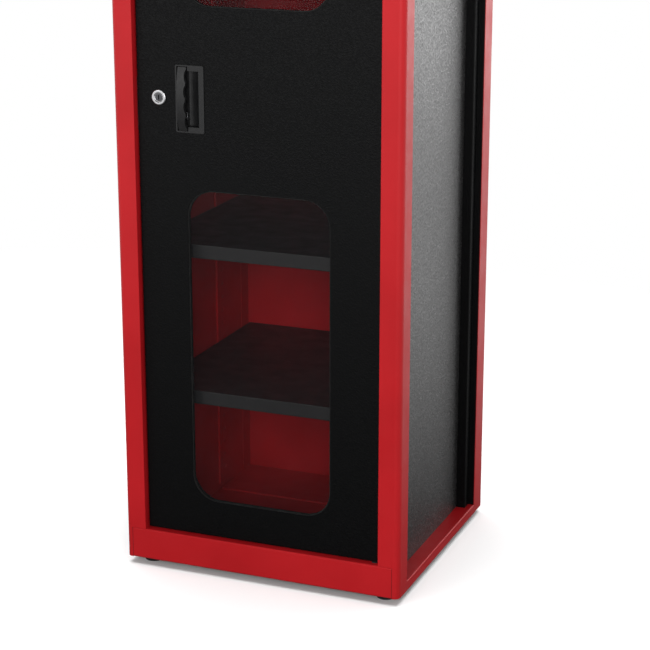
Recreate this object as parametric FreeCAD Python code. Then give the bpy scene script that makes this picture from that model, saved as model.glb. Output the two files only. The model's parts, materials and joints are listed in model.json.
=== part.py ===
import FreeCAD, Part
import math
import os

# Tall lockable dry-storage cabinet for filament spools.
# Millimetres. +Z up, the door faces -Y, and the origin is on the floor under the middle of the cabinet.

# ---- driving dimensions -------------------------------------------------------------------------
WIDTH = 550.0
DEPTH = 505.0
FOOT_HEIGHT = 15.0
FRAME_HEIGHT = 1770.0

POST_WIDTH = 41.0
FRONT_POST_DEPTH = 46.0
REAR_POST_DEPTH = 54.0
CORNER_RADIUS = 12.0
TUBE_WALL = 1.5
SHEET = 1.2

RAIL_HEIGHT = 60.0
FRONT_RAIL_DEPTH = 30.0
REAR_RAIL_DEPTH = 18.5
SIDE_RAIL_HEIGHT = 18.0
SIDE_RECESS = 30.0

DOOR_RECESS = 12.0
DOOR_THICKNESS = 18.0
DOOR_GAP = 2.5
PIVOT_FROM_DOOR_EDGE = 8.0
PIVOT_BEHIND_DOOR_FACE = 6.0
PIVOT_PIN_RADIUS = 3.0
BUSH_RADIUS = 4.6
RUNNING_CLEARANCE = 0.05

WINDOW_WIDTH = 275.0
WINDOW_HEIGHT = 591.5
WINDOW_RADIUS = 50.0
WINDOW_ABOVE_FRAME = 131.5
PANE_THICKNESS = 4.0

SHELF_COUNT = 5
FIRST_SHELF_TOP = 353.0
SHELF_PITCH = 278.6
SHELF_LIP = 26.0
SHELF_FLANGE = 18.0

HANDLE_CENTRE_X = -128.5
HANDLE_HEIGHT = 120.0
LEVER_WIDTH = 16.5
LEVER_BOW = 8.0
PIN_RADIUS = 2.0
FINGER_PITCH = 28.0

LOCK_X = -188.8
LOCK_RING_RADIUS = 14.0
CAM_LENGTH = 52.0

FOOT_INSET = 38.0
FOOT_RADIUS = 18.0
FAN_CENTRE_Y = 60.0
INLET_X = -170.0
INLET_BELOW_TOP = 95.0

# ---- positions worked out from them -------------------------------------------------------------
HALF = WIDTH / 2
FRONT = -DEPTH / 2
REAR = DEPTH / 2
BASE = FOOT_HEIGHT
TOP = FOOT_HEIGHT + FRAME_HEIGHT
MIDDLE = (BASE + TOP) / 2

OPENING = HALF - POST_WIDTH
RAIL_END = HALF - CORNER_RADIUS - TUBE_WALL
PANEL_X = HALF - SIDE_RECESS
LEDGE = BASE + SIDE_RAIL_HEIGHT
SIDE_FRONT = FRONT + FRONT_POST_DEPTH
SIDE_REAR = REAR - REAR_POST_DEPTH
LINER_X = OPENING + 1.0
LINER_BACK = REAR - REAR_RAIL_DEPTH - SHEET
FLOOR_TOP = BASE + 21.0

DOOR_FACE = FRONT + DOOR_RECESS
DOOR_BACK = DOOR_FACE + DOOR_THICKNESS
DOOR_HALF = OPENING - DOOR_GAP
DOOR_BOTTOM = BASE + RAIL_HEIGHT + DOOR_GAP
DOOR_TOP = TOP - RAIL_HEIGHT - DOOR_GAP
PIVOT_X = DOOR_HALF - PIVOT_FROM_DOOR_EDGE
PIVOT_Y = DOOR_FACE + PIVOT_BEHIND_DOOR_FACE
STOP_FACE = DOOR_BACK + 3.5

WINDOW_CENTRES = [
    BASE + WINDOW_ABOVE_FRAME + WINDOW_HEIGHT / 2,
    TOP - WINDOW_ABOVE_FRAME - WINDOW_HEIGHT / 2,
]
SHELF_TOPS = [FIRST_SHELF_TOP + i * SHELF_PITCH for i in range(SHELF_COUNT)]
SHELF_FRONT = FRONT + 35.0
SHELF_REAR = LINER_BACK - 4.0
SHELF_HALF = LINER_X - 5.5
UPRIGHT_WIDTH = 44.0
UPRIGHT_STARTS = [-164.0, 78.0]
CEILING = TOP - RAIL_HEIGHT - SHEET

HANDLE_LEFT = HANDLE_CENTRE_X - 27.5
HANDLE_RIGHT = HANDLE_CENTRE_X + 27.5
HANDLE_FACE = DOOR_FACE - 1.5
LEVER_LEFT = HANDLE_LEFT + 6.2
LEVER_PIN_X = LEVER_LEFT + 4.5
LEVER_PIN_Y = DOOR_FACE + 4.7
HOUSING_HALF = HANDLE_HEIGHT / 2 - 1.5
POCKET_HALF = HOUSING_HALF - 1.2
LEVER_HALF_HEIGHT = POCKET_HALF - 0.5
BOLT_Z = MIDDLE - 32.0
BOLT_FRONT = DOOR_FACE + 11.0
BOLT_THICKNESS = 3.0
BOLT_HALF_HEIGHT = 6.0
TAIL_REACH = 8.5
CAM_FRONT = DOOR_FACE + 7.1
CAM_THICKNESS = 2.5

FOOT_X = HALF - FOOT_INSET
FOOT_Y = FRONT + FOOT_INSET + 2
GUSSET = 4.0

DRYER_BOTTOM = CEILING - 62.0
FAN_HALF = 60.0
FAN_BORE = 58.0
INLET_Z = TOP - INLET_BELOW_TOP

Vector = FreeCAD.Vector
X_AXIS = Vector(1, 0, 0)
Y_AXIS = Vector(0, 1, 0)
Z_AXIS = Vector(0, 0, 1)
ORIGIN = Vector(0, 0, 0)


# ---- helpers ------------------------------------------------------------------------------------
def box(x0, x1, y0, y1, z0, z1):
    """Block between two corners."""
    return Part.makeBox(x1 - x0, y1 - y0, z1 - z0, Vector(x0, y0, z0))


def rod(radius, start, end):
    """Round bar between two points."""
    way = Vector(*end) - Vector(*start)
    return Part.makeCylinder(radius, way.Length, Vector(*start), way)


def union(shapes):
    """One solid from touching or overlapping ones."""
    return shapes[0].multiFuse(shapes[1:]).removeSplitter()


def cut(shape, tools):
    """The shape without the tools, taken out one by one."""
    for tool in tools:
        shape = shape.cut(tool)
    return shape


def group(shapes):
    """Separate solids kept in one node."""
    return Part.makeCompound(shapes)


def mirror_x(shape):
    return shape.mirror(ORIGIN, X_AXIS)


def mirror_y(shape):
    return shape.mirror(ORIGIN, Y_AXIS)


def mirror_z(shape):
    """Mirror about the level of the handle, which is the middle of the frame."""
    return shape.mirror(Vector(0, 0, MIDDLE), Z_AXIS)


def edges_at(shape, axis, keep):
    """Straight edges along an axis whose middle point passes the test."""
    found = []
    for edge in shape.Edges:
        if edge.Curve.TypeId != "Part::GeomLine":
            continue
        way = edge.Curve.Direction
        if abs(abs(way.dot(axis)) - 1) < 1e-6 and keep(edge.CenterOfMass):
            found.append(edge)
    return found


def closed_edges(shape, keep):
    """Full circles whose middle point passes the test."""
    return [edge for edge in shape.Edges if edge.Closed and keep(edge.CenterOfMass)]


def rounded_plate(centre_z, width, height, radius, y0, y1):
    """Upright plate with four rounded corners, centred on the door."""
    plate = box(-width / 2, width / 2, y0, y1, centre_z - height / 2, centre_z + height / 2)
    return plate.makeFillet(radius, edges_at(plate, Y_AXIS, lambda point: True))


def sheet_pan(x0, x1, y0, y1, z0, z1, open_side):
    """Folded sheet tray: a block hollowed from one side, given as axis letter and sign."""
    low = [x0 + SHEET, y0 + SHEET, z0 + SHEET]
    high = [x1 - SHEET, y1 - SHEET, z1 - SHEET]
    axis = "xyz".index(open_side[0])
    if open_side[1] == "+":
        high[axis] += 2 * SHEET
    else:
        low[axis] -= 2 * SHEET
    hollow = box(low[0], high[0], low[1], high[1], low[2], high[2])
    return box(x0, x1, y0, y1, z0, z1).cut(hollow)


# ---- frame --------------------------------------------------------------------------------------
def front_rail(z0):
    """Rectangular tube across the front, with a small chamfer on its long front edges."""
    rail = box(-RAIL_END, RAIL_END, FRONT, FRONT + FRONT_RAIL_DEPTH, z0, z0 + RAIL_HEIGHT)
    rail = rail.makeChamfer(2.0, edges_at(rail, X_AXIS, lambda point: point.y < FRONT + 1))
    hollow = box(-RAIL_END, RAIL_END, FRONT + TUBE_WALL, FRONT + FRONT_RAIL_DEPTH - TUBE_WALL,
                 z0 + 3.5, z0 + RAIL_HEIGHT - 3.5)
    pin_hole = rod(PIVOT_PIN_RADIUS, (PIVOT_X, PIVOT_Y, z0 - 5), (PIVOT_X, PIVOT_Y, z0 + RAIL_HEIGHT + 5))
    near_door = box(PIVOT_X - 9, PIVOT_X + 9, FRONT, DOOR_BACK + 9, BASE + 45, TOP - 45)
    return cut(rail, [hollow, pin_hole.common(near_door)])


def rear_rail(z0):
    """Rectangular tube across the back."""
    rail = box(-RAIL_END, RAIL_END, REAR - REAR_RAIL_DEPTH, REAR, z0, z0 + RAIL_HEIGHT)
    rail = rail.makeChamfer(1.0, edges_at(rail, X_AXIS, lambda point: point.y > REAR - 1))
    hollow = box(-RAIL_END, RAIL_END, REAR - REAR_RAIL_DEPTH + TUBE_WALL, REAR - TUBE_WALL,
                 z0 + TUBE_WALL, z0 + RAIL_HEIGHT - TUBE_WALL)
    return rail.cut(hollow)


def side_rail(z0, outer_edge_z):
    """Low rail between the posts of the right side; its outer edge next to the panel is rounded."""
    rail = box(PANEL_X, HALF, SIDE_FRONT, SIDE_REAR, z0, z0 + SIDE_RAIL_HEIGHT)

    def is_outer(point):
        return point.x > HALF - 1 and abs(point.z - outer_edge_z) < 1

    rail = rail.makeFillet(2.5, edges_at(rail, Y_AXIS, is_outer))
    hollow = box(PANEL_X + TUBE_WALL, HALF - TUBE_WALL, SIDE_FRONT, SIDE_REAR,
                 z0 + TUBE_WALL, z0 + SIDE_RAIL_HEIGHT - 3.0)
    return rail.cut(hollow)


def side_rail_pair(z0, outer_edge_z):
    right = cut(side_rail(z0, outer_edge_z), [gusset_space(), mirror_y(gusset_space())])
    return group([mirror_x(right), right])


def gusset_space():
    """Room of the steel plate that is welded inside the right front base corner."""
    return box(FOOT_X - 30, FOOT_X + 22, FRONT + FRONT_RAIL_DEPTH, FOOT_Y + 22, BASE, BASE + GUSSET)


def gusset():
    """The plate itself, with the hole that takes the threaded foot."""
    return gusset_space().cut(rod(5.0, (FOOT_X, FOOT_Y, BASE - 1), (FOOT_X, FOOT_Y, BASE + GUSSET + 1)))


def four_corners(shape):
    """The right front piece, copied to the four base corners."""
    right = [shape, mirror_y(shape)]
    return right + [mirror_x(piece) for piece in right]


def post(depth, rail_depth):
    """Right front corner post: a tube with a large outer radius, notched where the rails lap it."""
    tube = box(OPENING, HALF, FRONT, FRONT + depth, BASE, TOP)
    outer = edges_at(tube, Z_AXIS, lambda point: point.x > HALF - 1 and point.y < FRONT + 1)
    tube = tube.makeFillet(CORNER_RADIUS, outer)
    inner = edges_at(tube, Z_AXIS, lambda point: point.x < OPENING + 1 and point.y < FRONT + 1)
    tube = tube.makeFillet(1.5, inner)
    hollow = box(OPENING + TUBE_WALL, HALF - TUBE_WALL, FRONT + TUBE_WALL, FRONT + depth - TUBE_WALL,
                 BASE + TUBE_WALL, TOP - TUBE_WALL)
    corner = edges_at(hollow, Z_AXIS, lambda point: point.x > HALF - 3 and point.y < FRONT + 3)
    hollow = hollow.makeFillet(CORNER_RADIUS - TUBE_WALL, corner)
    notches = [
        box(OPENING, RAIL_END, FRONT, FRONT + rail_depth, z0, z0 + RAIL_HEIGHT)
        for z0 in (BASE, TOP - RAIL_HEIGHT)
    ]
    return cut(tube, [hollow] + notches)


def latch_slots(x0, x1):
    """Slots for the latch bolt and the swinging cam, cut in whatever lies between x0 and x1."""
    cam = box(x0, x1, CAM_FRONT - 1.2, CAM_FRONT + CAM_THICKNESS + 1.2, MIDDLE - 37, MIDDLE + 10)
    bolt = box(x0, x1, BOLT_FRONT - 0.6, BOLT_FRONT + BOLT_THICKNESS + 0.6,
               BOLT_Z - BOLT_HALF_HEIGHT - 0.6, BOLT_Z + BOLT_HALF_HEIGHT + 0.6)
    return [cam, bolt]


def frame_parts():
    front_right = post(FRONT_POST_DEPTH, FRONT_RAIL_DEPTH).cut(gusset_space())
    rear_right = mirror_y(post(REAR_POST_DEPTH, REAR_RAIL_DEPTH)).cut(mirror_y(gusset_space()))
    front_left = cut(mirror_x(front_right), latch_slots(-OPENING - 2, -OPENING + 1))
    return {
        "post_front_right": front_right,
        "post_front_left": front_left,
        "post_rear_right": rear_right,
        "post_rear_left": mirror_x(rear_right),
        "rail_front_bottom": front_rail(BASE),
        "rail_front_top": front_rail(TOP - RAIL_HEIGHT),
        "rail_rear_bottom": rear_rail(BASE),
        "rail_rear_top": rear_rail(TOP - RAIL_HEIGHT),
        "rails_side_bottom": side_rail_pair(BASE, LEDGE),
        "rails_side_top": side_rail_pair(TOP - SIDE_RAIL_HEIGHT, TOP - SIDE_RAIL_HEIGHT),
        "base_gussets": group(four_corners(gusset())),
    }


# ---- panels -------------------------------------------------------------------------------------
def roof_panel():
    """Flat tray let into the top of the frame, cut out around the four posts."""
    tray = sheet_pan(-PANEL_X, PANEL_X, FRONT + FRONT_RAIL_DEPTH, REAR - REAR_RAIL_DEPTH,
                     TOP - 18, TOP - 3, "z-")
    corners = four_corners(box(OPENING, HALF, FRONT, SIDE_FRONT, TOP - 30, TOP))
    rear = box(OPENING, HALF, SIDE_REAR, REAR, TOP - 30, TOP)
    return cut(tray, corners + [rear, mirror_x(rear)])


def side_panel_right():
    """Recessed outer panel with returns towards the liner."""
    return sheet_pan(PANEL_X - 8, PANEL_X, SIDE_FRONT, SIDE_REAR, BASE + 4, TOP - 20, "x-")


def liner_right():
    return box(LINER_X, LINER_X + SHEET, SIDE_FRONT, SIDE_REAR, FLOOR_TOP - 8, CEILING)


def liner_back():
    return box(-OPENING, OPENING, LINER_BACK, LINER_BACK + SHEET, FLOOR_TOP - SHEET, CEILING)


def floor_tray():
    """Floor with turned-down edges and a shallow pressed rib across it."""
    front = FRONT + FRONT_RAIL_DEPTH
    tray = sheet_pan(-OPENING, OPENING, front, LINER_BACK, FLOOR_TOP - 14, FLOOR_TOP, "z-")
    start = UPRIGHT_STARTS[1] + 2
    rib = box(-OPENING + 6, OPENING - 6, start, start + UPRIGHT_WIDTH, FLOOR_TOP - SHEET, FLOOR_TOP + 3)
    rib = rib.makeChamfer(2.0, edges_at(rib, X_AXIS, lambda point: point.z > FLOOR_TOP + 2))
    under = box(-OPENING + 10, OPENING - 10, start + 4, start + UPRIGHT_WIDTH - 4,
                FLOOR_TOP - 2 * SHEET, FLOOR_TOP + 3 - SHEET)
    return union([tray, rib]).cut(under)


def vent_slots(z_middle):
    """Row of narrow slots through the back panel."""
    return [box(-40, 40, REAR - 20, REAR + 1, z_middle + row * 10 - 2, z_middle + row * 10 + 2)
            for row in range(-3, 4)]


def screw_places():
    """Screw points down both sides of the back panel."""
    heights = [BASE + 90 + i * 318 for i in range(6)]
    return [(x, z) for x in (-OPENING + 9, OPENING - 9) for z in heights]


def back_panel():
    face = REAR - 2.5
    bottom = BASE + RAIL_HEIGHT
    panel = sheet_pan(-OPENING, OPENING, face - 8, face, bottom, TOP - RAIL_HEIGHT, "y-")
    holes = [rod(2.6, (x, face - 4, z), (x, face + 1, z)) for x, z in screw_places()]
    inlet = box(INLET_X - 20, INLET_X + 20, face - 10, face + 1, INLET_Z - 11, INLET_Z + 11)
    return cut(panel, holes + [inlet] + vent_slots(BASE + 130) + vent_slots(TOP - 170))


def back_screws():
    face = REAR - 2.5
    screws = []
    for x, z in screw_places():
        head = rod(4.6, (x, face, z), (x, face + 2.2, z))
        head = head.makeFillet(1.2, closed_edges(head, lambda point: point.y > face + 2))
        socket = rod(1.7, (x, face + 1.0, z), (x, face + 3, z))
        screws.append(union([head, rod(2.5, (x, face - 9, z), (x, face, z))]).cut(socket))
    return group(screws)


def duct_right():
    """Stepped cover of the cable duct, in the corner between side panel and rear post."""
    step_front = SIDE_REAR - 24.7
    cover = box(PANEL_X, HALF - 12, step_front, SIDE_REAR, LEDGE, TOP - SIDE_RAIL_HEIGHT)
    outer = edges_at(cover, Z_AXIS, lambda point: point.x > PANEL_X + 1 and point.y < SIDE_REAR - 1)
    cover = cover.makeFillet(2.0, outer)
    inside = box(PANEL_X, HALF - 12 - TUBE_WALL, step_front + TUBE_WALL, SIDE_REAR,
                 LEDGE + TUBE_WALL, TOP - SIDE_RAIL_HEIGHT - TUBE_WALL)
    flange = box(HALF - 12 - TUBE_WALL, HALF - 1, SIDE_REAR - 2, SIDE_REAR, LEDGE, TOP - SIDE_RAIL_HEIGHT)
    return union([cover.cut(inside), flange])


def panel_parts():
    return {
        "roof_panel": roof_panel(),
        "liner_top": box(-OPENING, OPENING, STOP_FACE + SHEET, LINER_BACK + SHEET, CEILING, CEILING + SHEET),
        "floor_tray": floor_tray(),
        "side_panel_right": side_panel_right(),
        "side_panel_left": mirror_x(side_panel_right()),
        "liner_right": liner_right(),
        "liner_left": mirror_x(liner_right()),
        "liner_back": liner_back(),
        "back_panel": back_panel(),
        "back_screws": back_screws(),
        "duct_right": duct_right(),
        "duct_left": mirror_x(duct_right()),
    }


# ---- feet ---------------------------------------------------------------------------------------
def foot_pad():
    """Moulded round foot, slightly wider at the floor."""
    pad = Part.makeCone(FOOT_RADIUS, FOOT_RADIUS - 2, BASE, Vector(FOOT_X, FOOT_Y, 0))
    pad = pad.makeFillet(1.2, closed_edges(pad, lambda point: point.z < 0.1))
    return pad.cut(rod(5.0, (FOOT_X, FOOT_Y, 4), (FOOT_X, FOOT_Y, BASE + 1)))


def foot_stud():
    """Stud from the foot into the threaded gusset."""
    return rod(5.0, (FOOT_X, FOOT_Y, 4), (FOOT_X, FOOT_Y, BASE + GUSSET))


# ---- shelves ------------------------------------------------------------------------------------
def shelf(top):
    """Sheet shelf: a tall front lip with rounded edge and lower side and rear flanges."""
    plate = box(-SHELF_HALF, SHELF_HALF, SHELF_FRONT, SHELF_REAR, top - SHELF_LIP, top)
    plate = plate.makeFillet(1.5, edges_at(plate, X_AXIS, lambda point: point.y < SHELF_FRONT + 1))
    hollow = box(-SHELF_HALF + SHEET, SHELF_HALF - SHEET, SHELF_FRONT + 4, SHELF_REAR - SHEET,
                 top - SHELF_LIP - 1, top - SHEET)
    behind_lip = box(-SHELF_HALF - 1, SHELF_HALF + 1, SHELF_FRONT + 12, SHELF_REAR + 1,
                     top - SHELF_LIP - 1, top - SHELF_FLANGE)
    return cut(plate, [hollow, behind_lip])


def upright(start):
    """Slotted channel on the right liner that carries the shelf clips."""
    inner = LINER_X - 4
    channel = box(inner, LINER_X, start, start + UPRIGHT_WIDTH, FLOOR_TOP + 12, DRYER_BOTTOM - 22)
    hollow = box(inner + SHEET, LINER_X + 1, start + SHEET, start + UPRIGHT_WIDTH - SHEET, 0, TOP)
    middle = start + UPRIGHT_WIDTH / 2
    pitch = SHELF_PITCH / 10
    first = FIRST_SHELF_TOP - SHELF_FLANGE - 5
    steps = range(-9, 46)
    slots = [box(inner - 1, inner + 2, middle - 6, middle + 6, first + i * pitch - 3, first + i * pitch + 3)
             for i in steps]
    return cut(channel, [hollow] + slots)


def shelf_clip(start, top):
    """Bent steel clip: a seat under the shelf flange and a tongue through the upright's slot."""
    inner = LINER_X - 4
    middle = start + UPRIGHT_WIDTH / 2
    seat = top - SHELF_FLANGE
    pieces = [
        box(SHELF_HALF - 9, inner, middle - 7, middle + 7, seat - 2, seat),
        box(inner - 1.5, inner, middle - 7, middle + 7, seat - 14, seat),
        box(inner - 1, inner + 3, middle - 5, middle + 5, seat - 7, seat - 3),
    ]
    return union(pieces)


def shelf_parts():
    parts = {f"shelf_{i + 1}": shelf(top) for i, top in enumerate(SHELF_TOPS)}
    right_uprights = [upright(start) for start in UPRIGHT_STARTS]
    right_clips = [shelf_clip(start, top) for start in UPRIGHT_STARTS for top in SHELF_TOPS]
    parts["shelf_uprights"] = group(right_uprights + [mirror_x(piece) for piece in right_uprights])
    parts["shelf_clips"] = group(right_clips + [mirror_x(piece) for piece in right_clips])
    return parts


# ---- door, its pivots and its stops -------------------------------------------------------------
def door_stops():
    """Four folded strips that the door seal closes against."""
    back = STOP_FACE + SHEET
    reach = 24.0
    low = BASE + RAIL_HEIGHT
    right = union([
        box(OPENING - reach, OPENING, STOP_FACE, back, low + reach, TOP - RAIL_HEIGHT - reach),
        box(OPENING - SHEET, OPENING, STOP_FACE, SIDE_FRONT, low + reach, TOP - RAIL_HEIGHT - reach),
    ])
    bottom = union([
        box(-OPENING, OPENING, STOP_FACE, back, low - 9, low + reach),
        box(-OPENING, OPENING, FRONT + FRONT_RAIL_DEPTH, back, low - 9, low - 9 + SHEET),
    ])
    return group([right, mirror_x(right), bottom, mirror_z(bottom)])


def pivot_pin():
    """Lower pivot: a pin pressed into the rail, with a thin flange under the door."""
    rail_top = BASE + RAIL_HEIGHT
    pin = rod(PIVOT_PIN_RADIUS, (PIVOT_X, PIVOT_Y, rail_top - 14), (PIVOT_X, PIVOT_Y, rail_top + 14))
    flange = rod(7.0, (PIVOT_X, PIVOT_Y, rail_top), (PIVOT_X, PIVOT_Y, rail_top + 0.8))
    return union([pin, flange])


def pivot_bush():
    """Flanged bush in the lower edge of the door."""
    body = rod(BUSH_RADIUS, (PIVOT_X, PIVOT_Y, DOOR_BOTTOM), (PIVOT_X, PIVOT_Y, DOOR_BOTTOM + 14))
    flange = rod(5.8, (PIVOT_X, PIVOT_Y, DOOR_BOTTOM - 0.8), (PIVOT_X, PIVOT_Y, DOOR_BOTTOM))
    bore = rod(PIVOT_PIN_RADIUS + RUNNING_CLEARANCE,
               (PIVOT_X, PIVOT_Y, DOOR_BOTTOM - 2), (PIVOT_X, PIVOT_Y, DOOR_BOTTOM + 16))
    return union([body, flange]).cut(bore)


def handle_cutout():
    """Hole in the door skin behind the handle's flange."""
    return box(HANDLE_LEFT + 2, HANDLE_RIGHT - 2, DOOR_FACE - 1, DOOR_FACE + 2,
               MIDDLE - HOUSING_HALF, MIDDLE + HOUSING_HALF)


def door_skin():
    """Outer door pan with folded edges and cut-outs for windows, handle, lock, bolt and bushes."""
    skin = box(-DOOR_HALF, DOOR_HALF, DOOR_FACE, DOOR_BACK, DOOR_BOTTOM, DOOR_TOP)
    front_edges = [edge for axis in (X_AXIS, Z_AXIS)
                   for edge in edges_at(skin, axis, lambda point: point.y < DOOR_FACE + 1)]
    skin = skin.makeFillet(1.0, front_edges)
    hollow = box(-DOOR_HALF + SHEET, DOOR_HALF - SHEET, DOOR_FACE + SHEET, DOOR_BACK + 1,
                 DOOR_BOTTOM + SHEET, DOOR_TOP - SHEET)
    windows = [rounded_plate(z, WINDOW_WIDTH, WINDOW_HEIGHT, WINDOW_RADIUS, DOOR_FACE - 1, DOOR_FACE + 3)
               for z in WINDOW_CENTRES]
    lock_hole = rod(9.5, (LOCK_X, DOOR_FACE - 1, MIDDLE), (LOCK_X, DOOR_FACE + 3, MIDDLE))
    bush_hole = rod(BUSH_RADIUS, (PIVOT_X, PIVOT_Y, DOOR_BOTTOM - 1), (PIVOT_X, PIVOT_Y, DOOR_BOTTOM + 3))
    holes = [hollow, handle_cutout(), lock_hole, bush_hole, mirror_z(bush_hole)]
    return cut(skin, holes + windows + latch_slots(-DOOR_HALF - 1, -DOOR_HALF + 2))


def door_pan():
    """Inner door sheet with a collar round each window that clamps the window seal."""
    edge = DOOR_HALF - SHEET
    pan = box(-edge, edge, DOOR_BACK - SHEET, DOOR_BACK, DOOR_BOTTOM + SHEET, DOOR_TOP - SHEET)
    collar_front = DOOR_FACE + 8.2
    for z in WINDOW_CENTRES:
        width = WINDOW_WIDTH + 6
        height = WINDOW_HEIGHT + 6
        collar = rounded_plate(z, width + 2 * SHEET, height + 2 * SHEET, WINDOW_RADIUS + 3 + SHEET,
                               collar_front, DOOR_BACK)
        opening = rounded_plate(z, width, height, WINDOW_RADIUS + 3, collar_front - 1, DOOR_BACK + 1)
        pan = pan.fuse(collar).cut(opening)
    return pan.removeSplitter()


def window_pane(z):
    front = DOOR_FACE + SHEET + 1.5
    return rounded_plate(z, WINDOW_WIDTH + 28, WINDOW_HEIGHT + 28, WINDOW_RADIUS + 12,
                         front, front + PANE_THICKNESS)


def window_seal(z):
    """Rubber channel round the pane; its lip shows inside the opening of the skin."""
    front = DOOR_FACE + SHEET
    ring = rounded_plate(z, WINDOW_WIDTH + 34, WINDOW_HEIGHT + 34, WINDOW_RADIUS + 15, front, front + 7.0)
    opening = rounded_plate(z, WINDOW_WIDTH - 4, WINDOW_HEIGHT - 4, WINDOW_RADIUS - 2, front - 1, front + 8.0)
    return ring.cut(opening).cut(window_pane(z))


def door_seal():
    """Soft strip on the back of the door that meets the stops."""
    outer = DOOR_HALF - 11.5
    inner = outer - 8
    low = DOOR_BOTTOM + 11.5
    high = DOOR_TOP - 11.5
    ring = box(-outer, outer, DOOR_BACK, DOOR_BACK + 3.2, low, high)
    return ring.cut(box(-inner, inner, DOOR_BACK - 1, DOOR_BACK + 4, low + 8, high - 8))


def strike_plate():
    """Thin steel plate on the left post with slots for bolt and cam."""
    plate = box(-OPENING, -OPENING + SHEET, DOOR_FACE + 4, DOOR_BACK, MIDDLE - 62, MIDDLE + 34)
    return cut(plate, latch_slots(-OPENING - 1, -OPENING + 3))


def door_parts():
    return {
        "door_skin": door_skin(),
        "door_pan": door_pan(),
        "window_lower": window_pane(WINDOW_CENTRES[0]),
        "window_upper": window_pane(WINDOW_CENTRES[1]),
        "window_seals": group([window_seal(z) for z in WINDOW_CENTRES]),
        "door_seal": door_seal(),
        "pivot_bushes": group([pivot_bush(), mirror_z(pivot_bush())]),
        "pivot_pins": group([pivot_pin(), mirror_z(pivot_pin())]),
        "door_stops": door_stops(),
        "strike_plate": strike_plate(),
    }


# ---- handle, latch and lock ---------------------------------------------------------------------
def handle_housing():
    """Recessed plastic housing: a flange on the door, a pocket for the lever and a finger scoop."""
    half = HANDLE_HEIGHT / 2
    flange = box(HANDLE_LEFT, HANDLE_RIGHT, HANDLE_FACE, DOOR_FACE, MIDDLE - half, MIDDLE + half)
    flange = flange.makeFillet(3.0, edges_at(flange, Y_AXIS, lambda point: True))
    pocket_floor = DOOR_FACE + 12.8
    body = box(HANDLE_LEFT + 2, HANDLE_RIGHT - 2, DOOR_FACE, pocket_floor + 1.5,
               MIDDLE - HOUSING_HALF, MIDDLE + HOUSING_HALF)
    pocket = box(LEVER_PIN_X - 7.9, LEVER_PIN_X + 13.0, HANDLE_FACE - 1, pocket_floor,
                 MIDDLE - POCKET_HALF, MIDDLE + POCKET_HALF)
    reach = half - 10.5
    scoop_right = HANDLE_RIGHT - 10
    scoop = finger_scoop(LEVER_PIN_X - 2, scoop_right, pocket_floor, MIDDLE - reach, MIDDLE + reach)
    bolt_way = box(HANDLE_LEFT - 1, LEVER_PIN_X + 10, BOLT_FRONT - 0.6, DOOR_FACE + 15,
                   BOLT_Z - BOLT_HALF_HEIGHT - 0.6, BOLT_Z + BOLT_HALF_HEIGHT + 0.6)
    pin_hole = rod(PIN_RADIUS, (LEVER_PIN_X, LEVER_PIN_Y, MIDDLE - half),
                   (LEVER_PIN_X, LEVER_PIN_Y, MIDDLE + half))
    return cut(union([flange, body]), [pocket, scoop, bolt_way, pin_hole])


def finger_scoop(left, right, floor, z0, z1):
    """Prism with a concave back that rises from the pocket floor to the right border."""
    start = Vector(right, HANDLE_FACE + 1, z0)
    end = Vector(left + 12, floor, z0)
    middle = Vector(right - 5.5, floor - 3.6, z0)
    wire = Part.Wire([
        Part.makeLine(Vector(left, HANDLE_FACE - 1, z0), Vector(right, HANDLE_FACE - 1, z0)),
        Part.makeLine(Vector(right, HANDLE_FACE - 1, z0), start),
        Part.Arc(start, middle, end).toShape(),
        Part.makeLine(end, Vector(left, floor, z0)),
        Part.makeLine(Vector(left, floor, z0), Vector(left, HANDLE_FACE - 1, z0)),
    ])
    return Part.Face(wire).extrude(Vector(0, 0, z1 - z0))


def bow_prism(front_at_middle, back, x0, x1):
    """Block whose front bows outwards between its ends, in side view."""
    low = MIDDLE - LEVER_HALF_HEIGHT
    high = MIDDLE + LEVER_HALF_HEIGHT
    end_front = front_at_middle + LEVER_BOW
    arc = Part.Arc(Vector(x0, end_front, low), Vector(x0, front_at_middle, MIDDLE),
                   Vector(x0, end_front, high))
    wire = Part.Wire([
        arc.toShape(),
        Part.makeLine(Vector(x0, end_front, high), Vector(x0, back, high)),
        Part.makeLine(Vector(x0, back, high), Vector(x0, back, low)),
        Part.makeLine(Vector(x0, back, low), Vector(x0, end_front, low)),
    ])
    return Part.Face(wire).extrude(Vector(x1 - x0, 0, 0))


def finger_scallops(right):
    """Four round cutters side by side, one for each finger."""
    centre_x = right + 18.8
    heights = [MIDDLE + (i - 1.5) * FINGER_PITCH for i in range(4)]
    return [rod(22.0, (centre_x, FRONT - 20, z), (centre_x, REAR, z)) for z in heights]


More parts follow.
